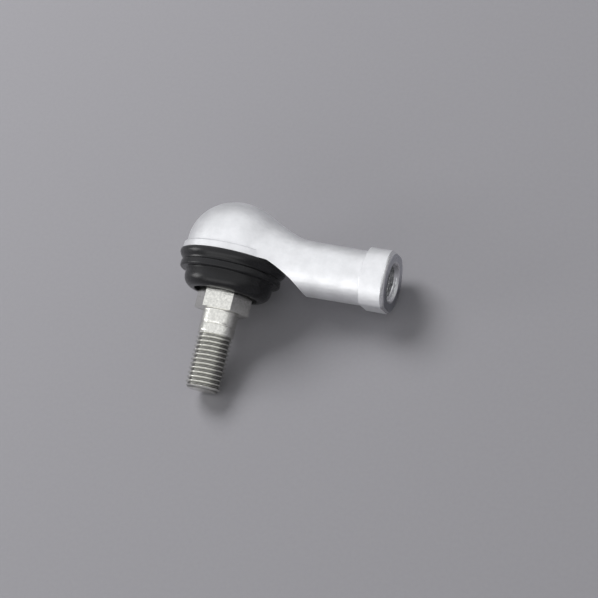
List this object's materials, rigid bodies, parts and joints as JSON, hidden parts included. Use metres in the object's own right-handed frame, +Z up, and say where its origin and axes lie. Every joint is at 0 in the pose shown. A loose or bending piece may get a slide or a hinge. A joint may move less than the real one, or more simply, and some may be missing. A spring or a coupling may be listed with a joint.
{
  "type": "angle ball joint",
  "caption": "Right-angle ball joint: domed cast holder with a tapped hexagonal-collared shank, a threaded ball stud and a ribbed rubber dust boot.",
  "frame": {"origin": "bottom centre of the joint's box as it lies at rest, on the rim of its boot, a corner of its collar and the end of its stud's thread", "axes": "+X along the shank towards its tapped end, seen from above; +Y towards the dome, so the stud points along -Y; +Z up"},
  "size_m": [0.0618, 0.053, 0.0297],
  "materials": {
    "cast_aluminium": "bright satin die casting",
    "bearing_steel": "polished ball",
    "plated_steel": "plated, turned and threaded",
    "boot_rubber": "satin moulded rubber"
  },
  "bodies": {
    "holder": {"holder": "cast_aluminium"},
    "boot": {"boot": "boot_rubber"},
    "ball": {"ball": "bearing_steel"},
    "stud": {"stud": "plated_steel"}
  },
  "joints": [
    {"name": "lean_direction", "type": "hinge", "parent": "holder", "child": "boot", "pos_m": [-0.01581, 0.01155, 0.01522], "axis": [0.037, 0.9599, 0.2778], "continuous": true},
    {"name": "lean", "type": "hinge", "parent": "boot", "child": "ball", "pos_m": [-0.01581, 0.01155, 0.01522], "axis": [-0.1267, 0.2803, -0.9515], "range_deg": [-20, 20], "deforming": ["boot"]},
    {"name": "stud_spin", "type": "hinge", "parent": "ball", "child": "stud", "pos_m": [-0.01581, 0.01155, 0.01522], "axis": [-0.037, -0.9599, -0.2778], "continuous": true}
  ]
}
